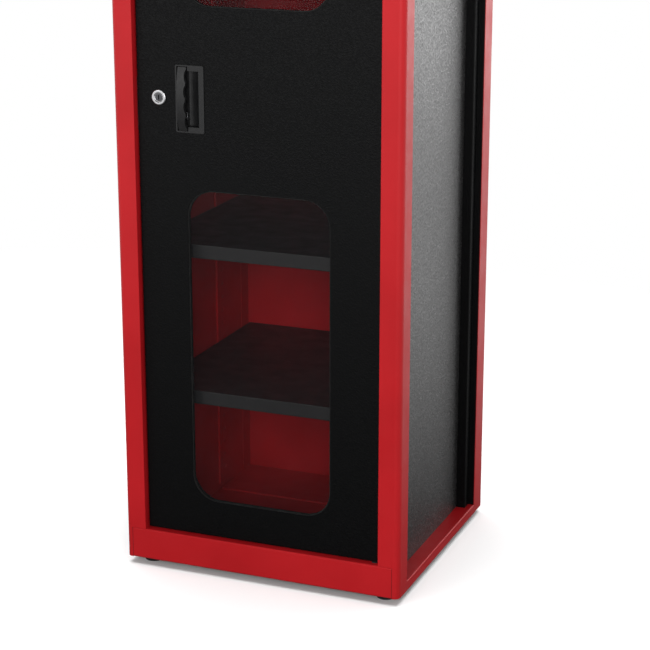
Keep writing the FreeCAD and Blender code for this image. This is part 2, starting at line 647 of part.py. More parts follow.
def grip_lever():
    """Bowed grip with four finger scallops, hinged along its left edge, with a tail for the bolt."""
    front = DOOR_FACE - 3.0 - LEVER_BOW
    right = LEVER_LEFT + LEVER_WIDTH
    grip = bow_prism(front, LEVER_PIN_Y, LEVER_LEFT, right)
    grip = grip.makeFillet(2.0, edges_at(grip, Y_AXIS, lambda point: True))
    behind = bow_prism(front + 7.0, LEVER_PIN_Y + 9, LEVER_PIN_X + 1.5, right + 1)
    between_ends = box(LEVER_LEFT, right + 2, FRONT, REAR,
                       MIDDLE - LEVER_HALF_HEIGHT + 9, MIDDLE + LEVER_HALF_HEIGHT - 9)
    grip = cut(grip, [behind.common(between_ends)] + finger_scallops(right))
    barrel = rod(4.5, (LEVER_PIN_X, LEVER_PIN_Y, MIDDLE - LEVER_HALF_HEIGHT + 2),
                 (LEVER_PIN_X, LEVER_PIN_Y, MIDDLE + LEVER_HALF_HEIGHT - 2))
    tail = box(LEVER_PIN_X - 2, LEVER_PIN_X + 2, LEVER_PIN_Y + 1, LEVER_PIN_Y + TAIL_REACH,
               BOLT_Z - 4, BOLT_Z + 4)
    bore = rod(PIN_RADIUS + RUNNING_CLEARANCE, (LEVER_PIN_X, LEVER_PIN_Y, BASE),
               (LEVER_PIN_X, LEVER_PIN_Y, TOP))
    spring_gap = box(LEVER_PIN_X - 6, LEVER_PIN_X + 5, LEVER_PIN_Y - 4.7, LEVER_PIN_Y + 5,
                     MIDDLE + 6, MIDDLE + 22)
    pieces = [cut(piece, [bore, spring_gap]) for piece in (grip, barrel)]
    return union(pieces + [tail.cut(bore)])


def lever_spring():
    """Torsion spring on the lever pin, with one leg against the pocket."""
    low = MIDDLE + 8.0
    wire_radius = 0.55
    coil_radius = 3.1
    helix = Part.makeHelix(1.35, 10.8, coil_radius)
    section = Part.Wire(Part.makeCircle(wire_radius, Vector(coil_radius, 0, 0), Y_AXIS))
    coil = Part.Wire(helix).makePipeShell([section], True, True)
    coil.translate(Vector(LEVER_PIN_X, LEVER_PIN_Y, low))
    leg_x = LEVER_PIN_X + coil_radius
    leg = rod(wire_radius, (leg_x, LEVER_PIN_Y, low), (leg_x, LEVER_PIN_Y + 7.5, low))
    return union([coil, leg])


def latch_bolt():
    """Flat bolt with a bevelled nose and a window for the lever's tail."""
    tip = -OPENING - 1.6
    tail_end = LEVER_PIN_X + 6.0
    bolt = box(tip, tail_end, BOLT_FRONT, BOLT_FRONT + BOLT_THICKNESS,
               BOLT_Z - BOLT_HALF_HEIGHT, BOLT_Z + BOLT_HALF_HEIGHT)
    bolt = bolt.makeChamfer(1.3, edges_at(bolt, Z_AXIS, lambda point: point.x < tip + 1))
    slack = 0.4
    swing_room = 1.0
    window = box(LEVER_PIN_X - 2 - swing_room, LEVER_PIN_X + 2 + slack,
                 BOLT_FRONT - 1, BOLT_FRONT + BOLT_THICKNESS + 1,
                 BOLT_Z - 4 - slack, BOLT_Z + 4 + slack)
    return bolt.cut(window)


def latch_guide():
    """Guide block for the bolt, fixed to the inner sheet of the door."""
    block = box(-226, -202, BOLT_FRONT - 1.0, DOOR_BACK - SHEET, BOLT_Z - 10, BOLT_Z + 10)
    way = box(-227, -201, BOLT_FRONT - 0.3, BOLT_FRONT + BOLT_THICKNESS + 0.3,
              BOLT_Z - BOLT_HALF_HEIGHT - 0.3, BOLT_Z + BOLT_HALF_HEIGHT + 0.3)
    return block.cut(way)


def lock_barrel():
    """Cam lock body with a rounded ring on the door and a shallow dish round the plug."""
    ring_front = DOOR_FACE - 3.2
    ring = rod(LOCK_RING_RADIUS, (LOCK_X, ring_front, MIDDLE), (LOCK_X, DOOR_FACE, MIDDLE))
    ring = ring.makeFillet(2.2, closed_edges(ring, lambda point: point.y < ring_front + 0.1))
    body = rod(9.5, (LOCK_X, DOOR_FACE, MIDDLE), (LOCK_X, CAM_FRONT - 0.8, MIDDLE))
    dish = Part.makeCone(9.2, 7.6, 1.6, Vector(LOCK_X, ring_front, MIDDLE), Y_AXIS)
    bore = rod(7.0 + RUNNING_CLEARANCE, (LOCK_X, ring_front - 1, MIDDLE), (LOCK_X, CAM_FRONT, MIDDLE))
    return cut(union([ring, body]), [dish, bore])


def lock_nut():
    """Hexagon nut that clamps the barrel behind the skin."""
    corner = 12.0 / math.cos(math.pi / 6)
    back = DOOR_FACE + SHEET
    turns = [math.radians(60 * i) for i in range(7)]
    points = [Vector(LOCK_X + corner * math.cos(turn), back, MIDDLE + corner * math.sin(turn))
              for turn in turns]
    nut = Part.Face(Part.makePolygon(points)).extrude(Vector(0, 3.0, 0))
    return nut.cut(rod(9.5, (LOCK_X, back - 1, MIDDLE), (LOCK_X, back + 5, MIDDLE)))


def lock_plug():
    """Turning plug with a keyway and a square tail for the cam."""
    front = DOOR_FACE - 2.0
    plug = rod(7.0, (LOCK_X, front, MIDDLE), (LOCK_X, CAM_FRONT, MIDDLE))
    plug = plug.makeFillet(0.6, closed_edges(plug, lambda point: point.y < front + 0.1))
    tail = box(LOCK_X - 3.5, LOCK_X + 3.5, CAM_FRONT, CAM_FRONT + 3.4, MIDDLE - 3.5, MIDDLE + 3.5)
    keyway = box(LOCK_X - 1.0, LOCK_X + 1.0, front - 1, front + 6, MIDDLE - 4.2, MIDDLE + 4.2)
    return union([plug, tail]).cut(keyway)


def lock_cam():
    """Cam that hangs down when unlocked and swings into the post when the key turns."""
    hub = rod(8.0, (LOCK_X, CAM_FRONT, MIDDLE), (LOCK_X, CAM_FRONT + CAM_THICKNESS, MIDDLE))
    end_z = MIDDLE - CAM_LENGTH + 8
    arm = box(LOCK_X - 8, LOCK_X + 8, CAM_FRONT, CAM_FRONT + CAM_THICKNESS, end_z, MIDDLE)
    nose = rod(8.0, (LOCK_X, CAM_FRONT, end_z), (LOCK_X, CAM_FRONT + CAM_THICKNESS, end_z))
    square = box(LOCK_X - 3.5, LOCK_X + 3.5, CAM_FRONT - 1, CAM_FRONT + 4, MIDDLE - 3.5, MIDDLE + 3.5)
    return union([hub, arm, nose]).cut(square)


def latch_parts():
    return {
        "handle_housing": handle_housing(),
        "grip_lever": grip_lever(),
        "lever_pin": rod(PIN_RADIUS, (LEVER_PIN_X, LEVER_PIN_Y, MIDDLE - HOUSING_HALF),
                         (LEVER_PIN_X, LEVER_PIN_Y, MIDDLE + HOUSING_HALF)),
        "lever_spring": lever_spring(),
        "latch_bolt": latch_bolt(),
        "latch_guide": latch_guide(),
        "lock_barrel": lock_barrel(),
        "lock_nut": lock_nut(),
        "lock_plug": lock_plug(),
        "lock_cam": lock_cam(),
    }


# ---- drying unit --------------------------------------------------------------------------------
def dryer_housing():
    """Sheet housing under the ceiling, with a round outlet below and intake slots in both sides."""
    shell = sheet_pan(-150, 150, -60, 180, DRYER_BOTTOM, CEILING, "z+")
    outlet = rod(FAN_BORE, (0, FAN_CENTRE_Y, DRYER_BOTTOM - 1), (0, FAN_CENTRE_Y, DRYER_BOTTOM + 3))
    slots = [box(-152, 152, y, y + 5, CEILING - 30, CEILING - 6) for y in range(-40, 165, 15)]
    return cut(shell, [outlet] + slots)


def fan_frame():
    """Square fan frame with a round bore, four struts and a stub shaft for the rotor."""
    low = DRYER_BOTTOM + SHEET
    high = low + 25
    frame = box(-FAN_HALF, FAN_HALF, FAN_CENTRE_Y - FAN_HALF, FAN_CENTRE_Y + FAN_HALF, low, high)
    frame = frame.makeFillet(6.0, edges_at(frame, Z_AXIS, lambda point: True))
    frame = frame.cut(rod(FAN_BORE, (0, FAN_CENTRE_Y, low - 1), (0, FAN_CENTRE_Y, high + 1)))
    struts = [box(-FAN_BORE - 1, FAN_BORE + 1, FAN_CENTRE_Y - 2, FAN_CENTRE_Y + 2, high - 3, high),
              box(-2, 2, FAN_CENTRE_Y - FAN_BORE - 1, FAN_CENTRE_Y + FAN_BORE + 1, high - 3, high)]
    disc = rod(20.0, (0, FAN_CENTRE_Y, high - 3), (0, FAN_CENTRE_Y, high))
    shaft = rod(PIN_RADIUS, (0, FAN_CENTRE_Y, low + 4), (0, FAN_CENTRE_Y, high - 2))
    return union([frame, disc, shaft] + struts)


def fan_rotor():
    """Hub with seven pitched blades."""
    low = DRYER_BOTTOM + SHEET + 2
    high = low + 18
    hub = rod(21.0, (0, FAN_CENTRE_Y, low), (0, FAN_CENTRE_Y, high))
    hub = hub.makeFillet(2.0, closed_edges(hub, lambda point: point.z < low + 0.1))
    swept = rod(FAN_BORE - 1.5, (0, FAN_CENTRE_Y, low), (0, FAN_CENTRE_Y, high))
    blades = []
    for i in range(7):
        blade = box(19.5, FAN_BORE, -15, 15, -0.9, 0.9)
        blade.rotate(ORIGIN, X_AXIS, 32)
        blade.rotate(ORIGIN, Z_AXIS, i * 360 / 7)
        blade.translate(Vector(0, FAN_CENTRE_Y, (low + high) / 2))
        blades.append(blade.common(swept))
    bore = rod(PIN_RADIUS + RUNNING_CLEARANCE, (0, FAN_CENTRE_Y, low + 1.5), (0, FAN_CENTRE_Y, high + 1))
    return union([hub] + blades).cut(bore)


def fan_guard():
    """Finger guard below the fan outlet: rings on two crossing bars that end in screw pads."""
    level = DRYER_BOTTOM - 2.4
    centre = (0, FAN_CENTRE_Y, level - 1.2)
    top = (0, FAN_CENTRE_Y, level + 1.2)
    rings = [rod(radius + 1.2, centre, top).cut(rod(radius - 1.2, centre, top)) for radius in (14, 28, 42, 56)]
    bars = [box(-62, 62, FAN_CENTRE_Y - 1.4, FAN_CENTRE_Y + 1.4, level - 0.8, level + 0.8),
            box(-1.4, 1.4, FAN_CENTRE_Y - 62, FAN_CENTRE_Y + 62, level - 0.8, level + 0.8)]
    pads = [rod(3.5, (x, FAN_CENTRE_Y + y, level - 1.6), (x, FAN_CENTRE_Y + y, DRYER_BOTTOM))
            for x, y in ((62, 0), (-62, 0), (0, 62), (0, -62))]
    return union(bars + rings + pads)


def heater_block():
    """Finned heating element above the fan."""
    low = DRYER_BOTTOM + SHEET + 27
    frame = box(-58, 58, FAN_CENTRE_Y - 45, FAN_CENTRE_Y + 45, low, low + 14)
    starts = [-53 + i * 8.0 for i in range(13)]
    gaps = [box(x, x + 6.4, FAN_CENTRE_Y - 40, FAN_CENTRE_Y + 40, low - 1, low + 15) for x in starts]
    return cut(frame, gaps)


def humidity_sensor():
    """Small slotted sensor case on the right liner."""
    case = box(LINER_X - 22, LINER_X, 10, 70, CEILING - 62, CEILING - 8)
    corners = edges_at(case, X_AXIS, lambda point: True)
    case = case.makeFillet(4.0, corners)
    slots = [box(LINER_X - 23, LINER_X - 18, 20, 60, CEILING - 52 + row * 6, CEILING - 49.5 + row * 6)
             for row in range(4)]
    return cut(case, slots)


def power_inlet():
    """Three-pin mains inlet let into the back panel."""
    face = REAR - 2.5
    body = box(INLET_X - 20, INLET_X + 20, face - 15, face, INLET_Z - 11, INLET_Z + 11)
    flange = box(INLET_X - 25, INLET_X + 25, face, face + 2, INLET_Z - 14, INLET_Z + 14)
    flange = flange.makeFillet(3.0, edges_at(flange, Y_AXIS, lambda point: True))
    socket = box(INLET_X - 12.5, INLET_X + 12.5, face - 12, face + 3, INLET_Z - 8.5, INLET_Z + 8.5)
    socket = socket.makeChamfer(4.0, edges_at(socket, Y_AXIS, lambda point: point.z > INLET_Z))
    blades = [box(INLET_X + x - 1, INLET_X + x + 1, face - 12, face - 3, INLET_Z + z - 2, INLET_Z + z + 2)
              for x, z in ((-7, -2), (0, 2), (7, -2))]
    return union([union([body, flange]).cut(socket)] + blades)


def dryer_parts():
    return {
        "dryer_housing": dryer_housing(),
        "fan_frame": fan_frame(),
        "fan_rotor": fan_rotor(),
        "fan_guard": fan_guard(),
        "heater_block": heater_block(),
        "humidity_sensor": humidity_sensor(),
        "power_inlet": power_inlet(),
    }


# ---- write every node ---------------------------------------------------------------------------
def all_parts():
    parts = {}
    for make in (frame_parts, panel_parts, shelf_parts, door_parts, latch_parts, dryer_parts):
        parts.update(make())
    parts["foot_pads"] = group(four_corners(foot_pad()))
    parts["foot_studs"] = group(four_corners(foot_stud()))
    return parts


os.makedirs("parts", exist_ok=True)
for name, shape in all_parts().items():
    shape.exportStep(os.path.join("parts", name + ".step"))
    print(f"{name:20s} solids {len(shape.Solids):3d}  volume {shape.Volume:12.1f}  valid {shape.isValid()}")
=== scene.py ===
"""Looks of the lockable filament drying cabinet, round its CAD frame. Metres, +Z up, front to -Y."""

import json
import math

import bpy
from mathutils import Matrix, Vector


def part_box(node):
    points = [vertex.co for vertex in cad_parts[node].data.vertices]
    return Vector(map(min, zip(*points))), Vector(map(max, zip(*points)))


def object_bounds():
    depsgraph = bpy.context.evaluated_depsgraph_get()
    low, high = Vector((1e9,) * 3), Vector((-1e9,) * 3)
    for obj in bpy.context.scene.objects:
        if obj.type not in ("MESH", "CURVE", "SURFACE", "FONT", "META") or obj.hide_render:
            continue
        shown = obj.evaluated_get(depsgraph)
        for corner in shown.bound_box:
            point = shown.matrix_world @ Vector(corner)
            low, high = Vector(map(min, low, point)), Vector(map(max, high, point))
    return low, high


# ---- camera, in metres, degrees and millimetres of lens ---------------------------------------------
CAMERA_PLACE = (1.326, -3.227, 1.466)
CAMERA_TURN = 21.87
CAMERA_TILT = 16.47
CAMERA_REACH = 200.0
LENS_MM = 105.2
SENSOR_MM = 36.0

# ---- backdrop and floor -------------------------------------------------------------------------------
BACKDROP_WHITE = 1.0
HORIZON_GLOW = 1.15
ZENITH_GLOW = 0.22
ZENITH_FROM = 0.5           # sine of the angle above the horizon from which the glow is the zenith's
FLOOR_REACH = 40.0
FLOOR_SHOWN = 0.93          # grey of the floor to the eye
FLOOR_BOUNCE = 0.13         # grey of the floor to every other ray
FLOOR_FADE = (1.3, 3.0)     # distances between which the floor melts into the backdrop
FADE_CENTRE = (-0.4, -0.9, 0.0)

# ---- lamps: place, width, height and power in watts ---------------------------------------------------
OVERHEAD_LAMP = ((0.0, 0.0, 5.0), 6.0, 6.0, 430.0)
SIDE_LAMPS = {
    "key_light": ((-2.4, -5.0, 2.4), 3.0, 3.0, 58.0),
    "fill_light": ((1.7, -5.2, 2.1), 2.4, 2.4, 115.0),
    "rear_light": ((2.2, 5.0, 1.5), 5.0, 3.0, 85.0),
}

# ---- colours, linear ----------------------------------------------------------------------------------
RED = (0.56, 0.012, 0.017)
RED_DEEP = (0.48, 0.009, 0.013)
RED_RUBBED = (0.72, 0.16, 0.17)
# painted light: the liner's red coat raised above the frame red, standing in for light reaching inside the
# cabinet
LINER_RED_LIT = (0.64, 0.018, 0.026)
# painted shadow: the dark colour laid along the joints where the front rails end against the posts
SEAM_SHADOW_COLOUR = (0.06, 0.004, 0.005)
DOOR_BLACK = (0.0003, 0.0004, 0.0006)
DOOR_SPECK = (0.0016, 0.0017, 0.0020)
# painted sheen: the side and back panels' black coat and its lighter tips are drawn far lighter than the
# door's same coat, standing in for the grazing sheen they show; the tips are also real grain
SIDE_BLACK_WITH_SHEEN = (0.0050, 0.0049, 0.0049)
SIDE_SPECK_WITH_SHEEN = (0.0550, 0.0535, 0.0535)
SHELF_BLACK = (0.020, 0.021, 0.022)
SHELF_GREY = (0.030, 0.031, 0.031)
SHELF_RUBBED = (0.07, 0.07, 0.072)
PLASTIC_BLACK = (0.0085, 0.0085, 0.0090)
RUBBER_BLACK = (0.011, 0.011, 0.011)
RUBBER_BLOOM = (0.035, 0.034, 0.033)
OFF_WHITE = (0.72, 0.71, 0.67)
ZINC = (0.55, 0.56, 0.57)
CHROME = (0.52, 0.52, 0.53)
# painted shade and painted dark reflection: plated metal drawn dark for the lock plug, lever pin, spring and
# strike plate
NICKEL_WITH_PAINTED_SHADE = (0.085, 0.085, 0.090)
BARE_ALUMINIUM = (0.66, 0.66, 0.67)
SMOKE = (0.81, 0.80, 0.80)
DUST = (0.12, 0.12, 0.13)

# ---- finish -------------------------------------------------------------------------------------------
EDGE_FLAT = 0.985           # cosine between the true and the rounded normal where wear begins
EDGE_SHARP = 0.80           # and where it is full
BEVEL_SAMPLES = 4
# the seam constants place and weight a painted shadow line along the rail-end joints
SEAM_HALF_WIDTH = 0.0007
SEAM_BLUR = 0.4             # share of the half width over which a seam fades, to each side
SEAM_DEPTH = 0.001
SEAM_SHADOW_STRENGTH = 0.6
BRUSH_STRETCH = (1.0, 1.0, 0.04)
PALER_GAIN = 2.1            # rubbed plastic is this much brighter
PALER_LIFT = 0.01           # and lifted by this much
PANE_MIRROR = 0.005         # share mirrored when looking straight through
PANE_GRAZING_MIRROR = 0.9
SCHLICK_POWER = 5.0

# ---- CAD nodes whose material differs from that of their slot, some for painted sheen and painted shade ---
# these panels get the lighter black coat with painted sheen
SHEEN_PAINTED_NODES = ("side_panel_right", "side_panel_left", "back_panel")
# these small metal parts get the darkened nickel, as painted shade and painted dark reflection
PAINTED_SHADE_NICKEL_NODES = ("lock_plug", "lever_pin", "lever_spring", "strike_plate")
BLACK_PLASTIC_NODES = ("pivot_bushes",)


# ---- node helpers ---------------------------------------------------------------------------------------
def shaded(colour, share):
    """The colour with every channel scaled."""
    return tuple(channel * share for channel in colour)


class Paint:
    """One procedural material with short calls to add and join its nodes."""

    def __init__(self, name):
        self.material = bpy.data.materials.new(name)
        self.material.use_nodes = True
        self.nodes = self.material.node_tree.nodes
        self.links = self.material.node_tree.links
        self.nodes.clear()
        self.output = self.nodes.new("ShaderNodeOutputMaterial")
        self.place = self.nodes.new("ShaderNodeTexCoord").outputs["Object"]

    def put(self, value, socket):
        """Joins a socket to another one, or sets it to a plain value."""
        if isinstance(value, bpy.types.NodeSocket):
            self.links.new(value, socket)
        elif isinstance(value, tuple) and len(value) == 3 and socket.type == "RGBA":
            socket.default_value = (*value, 1.0)
        else:
            socket.default_value = value

    def stretched(self, scale):
        """Object coordinates, stretched along the three axes."""
        mapping = self.nodes.new("ShaderNodeMapping")
        mapping.inputs["Scale"].default_value = scale
        self.links.new(self.place, mapping.inputs["Vector"])
        return mapping.outputs["Vector"]

    def noise(self, per_metre, detail=2.0, roughness=0.5, vector=None):
        """Cloudy noise round one half."""
        node = self.nodes.new("ShaderNodeTexNoise")
        node.inputs["Scale"].default_value = per_metre
        node.inputs["Detail"].default_value = detail
        node.inputs["Roughness"].default_value = roughness
        self.links.new(vector or self.place, node.inputs["Vector"])
        return node.outputs["Fac"]

    def cells(self, per_metre):
        """Distance from the middle of the nearest cell."""
        node = self.nodes.new("ShaderNodeTexVoronoi")
        node.inputs["Scale"].default_value = per_metre
        self.links.new(self.place, node.inputs["Vector"])
        return node.outputs["Distance"]

    def ranged(self, value, window, span=(0.0, 1.0)):
        """The part of a value that lies in the window, spread over the span."""
        node = self.nodes.new("ShaderNodeMapRange")
        node.inputs["From Min"].default_value, node.inputs["From Max"].default_value = window
        node.inputs["To Min"].default_value, node.inputs["To Max"].default_value = span
        self.links.new(value, node.inputs["Value"])
        return node.outputs["Result"]

    def patches(self, per_metre, detail, window, span=(0.0, 1.0), roughness=0.5):
        """Noise cut to a window and spread over the span."""
        return self.ranged(self.noise(per_metre, detail, roughness), window, span)

    def maths(self, operation, first, second=0.0):
        """Result of one operation on one or two values."""
        node = self.nodes.new("ShaderNodeMath")
        node.operation = operation
        self.put(first, node.inputs[0])
        self.put(second, node.inputs[1])
        return node.outputs[0]

    def blend(self, factor, first, second):
        """Colour between two colours."""
        node = self.nodes.new("ShaderNodeMix")
        node.data_type = "RGBA"
        self.put(factor, node.inputs["Factor"])
        self.put(first, node.inputs["A"])
        self.put(second, node.inputs["B"])
        return node.outputs["Result"]

    def soft_edges(self, radius):
        """Normal that rounds sharp edges over a small radius."""
        node = self.nodes.new("ShaderNodeBevel")
        node.samples = BEVEL_SAMPLES
        node.inputs["Radius"].default_value = radius
        return node.outputs["Normal"]

    def edge_mask(self, radius):
        """1 on sharp edges and 0 on flat faces."""
        geometry = self.nodes.new("ShaderNodeNewGeometry")
        product = self.nodes.new("ShaderNodeVectorMath")
        product.operation = "DOT_PRODUCT"
        self.links.new(self.soft_edges(radius), product.inputs[0])
        self.links.new(geometry.outputs["Normal"], product.inputs[1])
        return self.ranged(product.outputs["Value"], window=(EDGE_FLAT, EDGE_SHARP))

    def rubbed_edges(self, radius, per_metre, window, strength):
        """Patchy wear along sharp edges."""
        patches = self.patches(per_metre, detail=3.0, window=window)
        worn = self.maths("MULTIPLY", self.edge_mask(radius), patches)
        return self.maths("MULTIPLY", worn, strength)

    def bumped(self, height, strength, distance, normal):
        """Normal with the relief of a height laid over it."""
        node = self.nodes.new("ShaderNodeBump")
        node.inputs["Strength"].default_value = strength
        node.inputs["Distance"].default_value = distance
        self.links.new(height, node.inputs["Height"])
        self.links.new(normal, node.inputs["Normal"])
        return node.outputs["Normal"]

    def mixed(self, factor, first, second):
        """Shader between two shaders."""
        node = self.nodes.new("ShaderNodeMixShader")
        self.put(factor, node.inputs[0])
        self.links.new(first.outputs[0], node.inputs[1])
        self.links.new(second.outputs[0], node.inputs[2])
        return node

    def show(self, shader):
        """Makes the shader the material's surface."""
        self.links.new(shader.outputs[0], self.output.inputs["Surface"])

    def surface(self, **inputs):
        """Makes a Principled shader with the given inputs the material's surface."""
        shader = self.nodes.new("ShaderNodeBsdfPrincipled")
        for name, value in inputs.items():
            self.put(value, shader.inputs[name.replace("_", " ")])
        self.show(shader)


# ---- materials --------------------------------------------------------------------------------------------
def rail_end_seam_shadow(paint):
    """1 on the thin upright joint lines where the front rails end against the posts: the mask of a painted
    shadow line in the joint.
    """
    low_rail, high_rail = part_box("rail_front_bottom"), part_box("rail_front_top")
    axes = paint.nodes.new("ShaderNodeSeparateXYZ")
    paint.links.new(paint.place, axes.inputs["Vector"])
    from_end = paint.maths("SUBTRACT", paint.maths("ABSOLUTE", axes.outputs["X"]), low_rail[1].x)
    blur = (SEAM_HALF_WIDTH * (1.0 + SEAM_BLUR), SEAM_HALF_WIDTH * (1.0 - SEAM_BLUR))
    on_end = paint.ranged(paint.maths("ABSOLUTE", from_end), window=blur)
    below = paint.maths("LESS_THAN", axes.outputs["Z"], low_rail[1].z)
    above = paint.maths("GREATER_THAN", axes.outputs["Z"], high_rail[0].z)
    at_front = paint.maths("LESS_THAN", axes.outputs["Y"], low_rail[0].y + SEAM_DEPTH)
    beside_rail = paint.maths("MULTIPLY", on_end, paint.maths("ADD", below, above))
    return paint.maths("MULTIPLY", beside_rail, at_front)


def red_powder_coat(name, colour, deep_colour, roughness):
    """Semi-gloss powder coat: orange peel, rubbed edges, faint handling marks, and a painted shadow line
    where the front rails end against the posts.
    """
    paint = Paint(name)
    cloud = paint.patches(per_metre=5.0, detail=4.0, window=(0.35, 0.65))
    flecks = paint.patches(per_metre=420.0, detail=3.0, window=(0.62, 0.78), span=(0.0, 0.18))
    coat = paint.blend(flecks, paint.blend(cloud, deep_colour, colour), deep_colour)
    wear = paint.rubbed_edges(radius=0.0012, per_metre=60.0, window=(0.45, 0.7), strength=0.30)
    # painted shadow along the rail-end joints
    joint_shadow = paint.maths("MULTIPLY", rail_end_seam_shadow(paint), SEAM_SHADOW_STRENGTH)
    shown = paint.blend(joint_shadow, paint.blend(wear, coat, RED_RUBBED), SEAM_SHADOW_COLOUR)
    peel = paint.noise(per_metre=760.0, detail=1.5, roughness=0.4)
    waves = paint.noise(per_metre=95.0, detail=1.0)
    normal = paint.bumped(peel, strength=0.22, distance=0.00025, normal=paint.soft_edges(radius=0.0011))
    normal = paint.bumped(waves, strength=0.10, distance=0.0006, normal=normal)
    marks = paint.patches(per_metre=24.0, detail=6.0, roughness=0.65, window=(0.3, 0.7),
                          span=(roughness - 0.05, roughness + 0.07))
    paint.surface(Base_Color=shown, Roughness=marks, Normal=normal, Specular_IOR_Level=0.2)
    return paint.material


def texture_coat(name, colour, tip_colour, gloss, roughness):
    """Dry black powder coat with a raised grain and lighter tips."""
    paint = Paint(name)
    grain = paint.noise(per_metre=240.0, detail=3.0, roughness=0.6)
    grain_share = paint.maths("MULTIPLY", grain, 0.65)
    pebble_share = paint.maths("MULTIPLY", paint.cells(per_metre=330.0), 0.55)
    height = paint.maths("ADD", grain_share, pebble_share)
    tips = paint.ranged(height, window=(0.54, 0.76))
    cloud = paint.patches(per_metre=7.0, detail=5.0, window=(0.3, 0.7), span=(0.75, 1.15))
    shown = paint.blend(paint.maths("MULTIPLY", tips, cloud), colour, tip_colour)
    normal = paint.bumped(height, strength=0.85, distance=0.0005, normal=paint.soft_edges(radius=0.0009))
    shine = paint.ranged(grain, window=(0.35, 0.65), span=(roughness + 0.12, roughness - 0.12))
    paint.surface(Base_Color=shown, Roughness=shine, Normal=normal, Specular_IOR_Level=gloss)
    return paint.material


def black_smooth_coat():
    """Smoother black coat of shelves and inner door sheet, with a light orange peel and rubbed edges."""
    paint = Paint("black_powder")
    cloud = paint.patches(per_metre=6.0, detail=4.0, window=(0.35, 0.65), span=(0.0, 0.5))
    wear = paint.rubbed_edges(radius=0.0010, per_metre=45.0, window=(0.4, 0.7), strength=0.5)
    shown = paint.blend(wear, paint.blend(cloud, SHELF_BLACK, SHELF_GREY), SHELF_RUBBED)
    peel = paint.noise(per_metre=520.0, detail=2.0)
    normal = paint.bumped(peel, strength=0.28, distance=0.00025, normal=paint.soft_edges(radius=0.0009))
    marks = paint.patches(per_metre=30.0, detail=5.0, window=(0.3, 0.7), span=(0.36, 0.50))
    paint.surface(Base_Color=shown, Roughness=marks, Normal=normal, Specular_IOR_Level=0.4)
    return paint.material


def moulded_plastic(name, colour, roughness):
    """Moulded plastic with an eroded grain and paler rubbed edges."""
    paint = Paint(name)
    grain = paint.noise(per_metre=900.0, detail=3.0, roughness=0.6)
    pits = paint.ranged(grain, window=(0.4, 0.7), span=(0.0, 0.35))
    paler = tuple(min(1.0, channel * PALER_GAIN + PALER_LIFT) for channel in colour)
    wear = paint.rubbed_edges(radius=0.0009, per_metre=70.0, window=(0.35, 0.7), strength=0.45)
    shown = paint.blend(wear, paint.blend(pits, colour, shaded(colour, share=0.75)), paler)
    normal = paint.bumped(grain, strength=0.35, distance=0.0002, normal=paint.soft_edges(radius=0.0008))
    marks = paint.patches(per_metre=120.0, detail=4.0, window=(0.3, 0.7),
                          span=(roughness - 0.05, roughness + 0.06))
    paint.surface(Base_Color=shown, Roughness=marks, Normal=normal, Specular_IOR_Level=0.35)
    return paint.material


def rubber():
    """Matt rubber with a dusty bloom."""
    paint = Paint("rubber")
    bloom = paint.patches(per_metre=85.0, detail=5.0, roughness=0.6, window=(0.45, 0.75), span=(0.0, 0.5))
    shown = paint.blend(bloom, RUBBER_BLACK, RUBBER_BLOOM)
    grain = paint.noise(per_metre=1100.0, detail=2.0)
    normal = paint.bumped(grain, strength=0.3, distance=0.0002, normal=paint.soft_edges(radius=0.0008))
    marks = paint.patches(per_metre=60.0, detail=4.0, window=(0.3, 0.7), span=(0.62, 0.80))
    paint.surface(Base_Color=shown, Roughness=marks, Normal=normal, Specular_IOR_Level=0.15)
    return paint.material


def plated_metal(name, colour, roughness, brush_per_metre, tarnish):
    """Plated or bare metal: fine directional scratches and cloudy tarnish."""
    paint = Paint(name)
    along_brush = paint.stretched(BRUSH_STRETCH)
    scratches = paint.noise(brush_per_metre, detail=4.0, roughness=0.6, vector=along_brush)
    cloud = paint.patches(per_metre=55.0, detail=5.0, window=(0.4, 0.75), span=(0.0, tarnish))
    shown = paint.blend(cloud, colour, shaded(colour, share=0.55))
    brushed = paint.ranged(scratches, window=(0.3, 0.7), span=(roughness * 0.75, roughness * 1.35))
    normal = paint.bumped(scratches, strength=0.12, distance=0.00012, normal=paint.soft_edges(radius=0.0006))
    paint.surface(Base_Color=shown, Metallic=1.0, Roughness=brushed, Normal=normal)
    return paint.material


def smoked_pane():
    """Smoked acrylic: tinted, glossy at grazing angles, thinly dusty, and clear to the lamps' light."""
    paint = Paint("smoked_pane")
    haze = paint.patches(per_metre=14.0, detail=5.0, window=(0.35, 0.7))
    tint = paint.nodes.new("ShaderNodeBsdfTransparent")
    paint.put(paint.blend(haze, SMOKE, shaded(SMOKE, share=0.98)), tint.inputs["Color"])
    gloss = paint.nodes.new("ShaderNodeBsdfGlossy")
    paint.put(paint.ranged(haze, window=(0.0, 1.0), span=(0.06, 0.10)), gloss.inputs["Roughness"])
    turned = paint.nodes.new("ShaderNodeLayerWeight").outputs["Facing"]
    mirror = paint.ranged(paint.maths("POWER", turned, SCHLICK_POWER), window=(0.0, 1.0),
                          span=(PANE_MIRROR, PANE_GRAZING_MIRROR))
    dust = paint.nodes.new("ShaderNodeBsdfDiffuse")
    paint.put(DUST, dust.inputs["Color"])
    dust_share = paint.ranged(haze, window=(0.0, 1.0), span=(0.016, 0.023))
    sheet = paint.mixed(dust_share, paint.mixed(mirror, tint, gloss), dust)
    clear = paint.nodes.new("ShaderNodeBsdfTransparent")
    shadow_ray = paint.nodes.new("ShaderNodeLightPath").outputs["Is Shadow Ray"]
    paint.show(paint.mixed(shadow_ray, sheet, clear))
    return paint.material


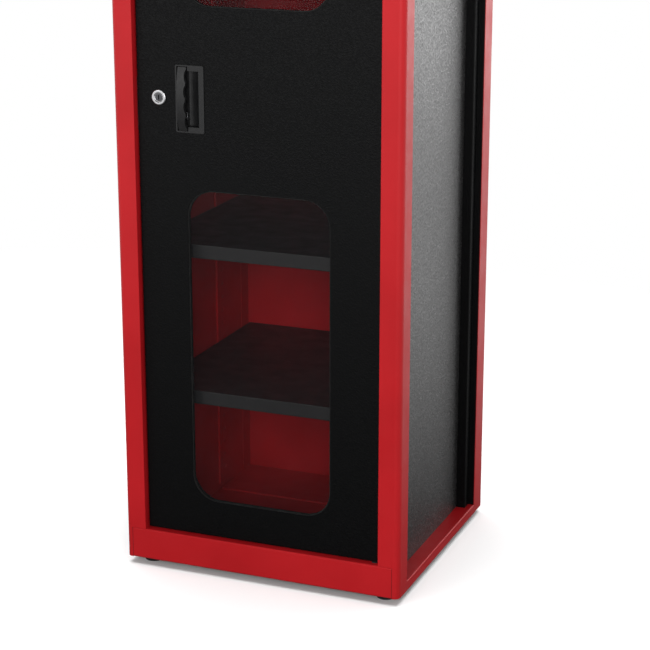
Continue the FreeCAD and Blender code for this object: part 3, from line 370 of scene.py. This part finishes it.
def all_materials():
    """One material for each slot of the record, and two more for nodes that differ from their slot."""
    return {
        "red_powder": red_powder_coat("red_powder", RED, RED_DEEP, roughness=0.40),
        # red liner coat drawn lighter: painted light inside the cabinet
        "red_liner": red_powder_coat("red_liner", LINER_RED_LIT, RED_DEEP, roughness=0.46),
        "black_texture": texture_coat("black_texture", DOOR_BLACK, DOOR_SPECK, gloss=0.12, roughness=0.48),
        # same black texture coat as the door, drawn lighter with painted sheen
        "black_texture_painted_sheen": texture_coat("black_texture_painted_sheen", SIDE_BLACK_WITH_SHEEN, SIDE_SPECK_WITH_SHEEN, gloss=0.55, roughness=0.36),
        "black_powder": black_smooth_coat(),
        "smoked_pane": smoked_pane(),
        "black_plastic": moulded_plastic("black_plastic", PLASTIC_BLACK, roughness=0.42),
        "white_plastic": moulded_plastic("white_plastic", OFF_WHITE, roughness=0.45),
        "chrome": plated_metal("chrome", CHROME, 0.20, brush_per_metre=900.0, tarnish=0.20),
        # darkened plated metal: painted shade and painted dark reflection
        "nickel_with_painted_shade": plated_metal("nickel_with_painted_shade", NICKEL_WITH_PAINTED_SHADE, 0.30, brush_per_metre=900.0, tarnish=0.30),
        "steel": plated_metal("steel", ZINC, 0.34, brush_per_metre=700.0, tarnish=0.45),
        "aluminium": plated_metal("aluminium", BARE_ALUMINIUM, 0.30, brush_per_metre=800.0, tarnish=0.25),
        "rubber": rubber(),
    }


def dress_nodes(frame, materials):
    """Every CAD node gets its slot's material, apart from a few: the side and back panels get a lighter copy
    of the black texture coat with painted sheen, a few small metal parts a darkened nickel with painted
    shade, and the pivot bushes black plastic.
    """
    special = dict.fromkeys(SHEEN_PAINTED_NODES, "black_texture_painted_sheen")
    special.update(dict.fromkeys(PAINTED_SHADE_NICKEL_NODES, "nickel_with_painted_shade"))
    special.update(dict.fromkeys(BLACK_PLASTIC_NODES, "black_plastic"))
    for row in frame["record"]["subparts"]:
        node = frame["nodes"][row["node"]]
        material = materials[special.get(row["node"], row["material_slot"])]
        if not node.material_slots:
            node.data.materials.append(material)
        for material_slot in node.material_slots:
            material_slot.material = material


# ---- studio -----------------------------------------------------------------------------------------------
def world_light():
    """White to the eye; as a light, bright along the horizon and dim overhead."""
    world = bpy.data.worlds.new("studio")
    bpy.context.scene.world = world
    world.use_nodes = True
    tree = world.node_tree
    background = tree.nodes["Background"]
    background.inputs["Color"].default_value = (1.0, 1.0, 1.0, 1.0)
    height = tree.nodes.new("ShaderNodeSeparateXYZ")
    tree.links.new(tree.nodes.new("ShaderNodeTexCoord").outputs["Generated"], height.inputs["Vector"])
    glow = tree.nodes.new("ShaderNodeMapRange")
    glow.inputs["From Max"].default_value = ZENITH_FROM
    glow.inputs["To Min"].default_value = HORIZON_GLOW
    glow.inputs["To Max"].default_value = ZENITH_GLOW
    tree.links.new(height.outputs["Z"], glow.inputs["Value"])
    ray = tree.nodes.new("ShaderNodeLightPath")
    strength = tree.nodes.new("ShaderNodeMapRange")
    strength.inputs["To Max"].default_value = BACKDROP_WHITE
    tree.links.new(ray.outputs["Is Camera Ray"], strength.inputs["Value"])
    tree.links.new(glow.outputs["Result"], strength.inputs["To Min"])
    tree.links.new(strength.outputs["Result"], background.inputs["Strength"])


def floor_material():
    """Pale near the cabinet, and as bright as the backdrop further off."""
    paint = Paint("pale_floor")
    seen = paint.nodes.new("ShaderNodeLightPath").outputs["Is Camera Ray"]
    near = paint.nodes.new("ShaderNodeBsdfDiffuse")
    paint.put(paint.blend(seen, (FLOOR_BOUNCE,) * 3, (FLOOR_SHOWN,) * 3), near.inputs["Color"])
    far = paint.nodes.new("ShaderNodeEmission")
    glow = paint.ranged(seen, window=(0.0, 1.0), span=(HORIZON_GLOW, BACKDROP_WHITE))
    paint.put(glow, far.inputs["Strength"])
    distance = paint.nodes.new("ShaderNodeVectorMath")
    distance.operation = "DISTANCE"
    distance.inputs[1].default_value = FADE_CENTRE
    paint.links.new(paint.place, distance.inputs[0])
    fade = paint.ranged(distance.outputs["Value"], window=FLOOR_FADE)
    paint.show(paint.mixed(fade, near, far))
    return paint.material


def floor():
    """Wide pale floor that melts into the white backdrop a few steps away."""
    mesh = bpy.data.meshes.new("floor")
    corners = [(x * FLOOR_REACH, y * FLOOR_REACH, 0) for x, y in ((-1, -1), (1, -1), (1, 1), (-1, 1))]
    mesh.from_pydata(corners, [], [(0, 1, 2, 3)])
    plane = bpy.data.objects.new("floor", mesh)
    bpy.context.scene.collection.objects.link(plane)
    mesh.materials.append(floor_material())
    return plane


def area_light(name, target, place, width, height, power):
    """Rectangular soft light that points at a target, out of sight of the camera."""
    data = bpy.data.lights.new(name, "AREA")
    data.shape = "RECTANGLE"
    data.size = width
    data.size_y = height
    data.energy = power
    light = bpy.data.objects.new(name, data)
    light.visible_camera = False
    light.location = place
    light.rotation_euler = (Vector(target) - Vector(place)).to_track_quat("-Z", "Y").to_euler()
    bpy.context.scene.collection.objects.link(light)
    return light


def studio(middle):
    """Low side lights for the cabinet, and an overhead one that lights only the floor round it."""
    world_light()
    ground = bpy.data.collections.new("ground")
    ground.objects.link(floor())
    overhead = area_light("floor_light", (0.0, 0.0, 0.0), *OVERHEAD_LAMP)
    overhead.light_linking.receiver_collection = ground
    for name, lamp in SIDE_LAMPS.items():
        area_light(name, middle, *lamp)


def camera():
    """Camera to the right of the front, looking slightly down on the lower half of the cabinet."""
    data = bpy.data.cameras.new("camera")
    data.lens = LENS_MM
    data.sensor_width = SENSOR_MM
    data.clip_end = CAMERA_REACH
    eye = bpy.data.objects.new("camera", data)
    eye.location = CAMERA_PLACE
    eye.rotation_euler = (math.radians(90.0 - CAMERA_TILT), 0.0, math.radians(CAMERA_TURN))
    bpy.context.scene.collection.objects.link(eye)
    bpy.context.scene.camera = eye


with open("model.json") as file:
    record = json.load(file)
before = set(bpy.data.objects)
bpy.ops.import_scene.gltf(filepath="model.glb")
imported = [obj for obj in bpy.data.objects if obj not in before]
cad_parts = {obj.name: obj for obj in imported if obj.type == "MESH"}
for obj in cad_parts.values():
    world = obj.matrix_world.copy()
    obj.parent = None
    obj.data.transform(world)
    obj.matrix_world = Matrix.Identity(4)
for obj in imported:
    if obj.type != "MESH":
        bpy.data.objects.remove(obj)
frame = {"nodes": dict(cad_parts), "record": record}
cad_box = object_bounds()
dress_nodes(frame, all_materials())
studio((cad_box[0] + cad_box[1]) / 2)
camera()
bpy.context.scene.view_settings.view_transform = "Standard"
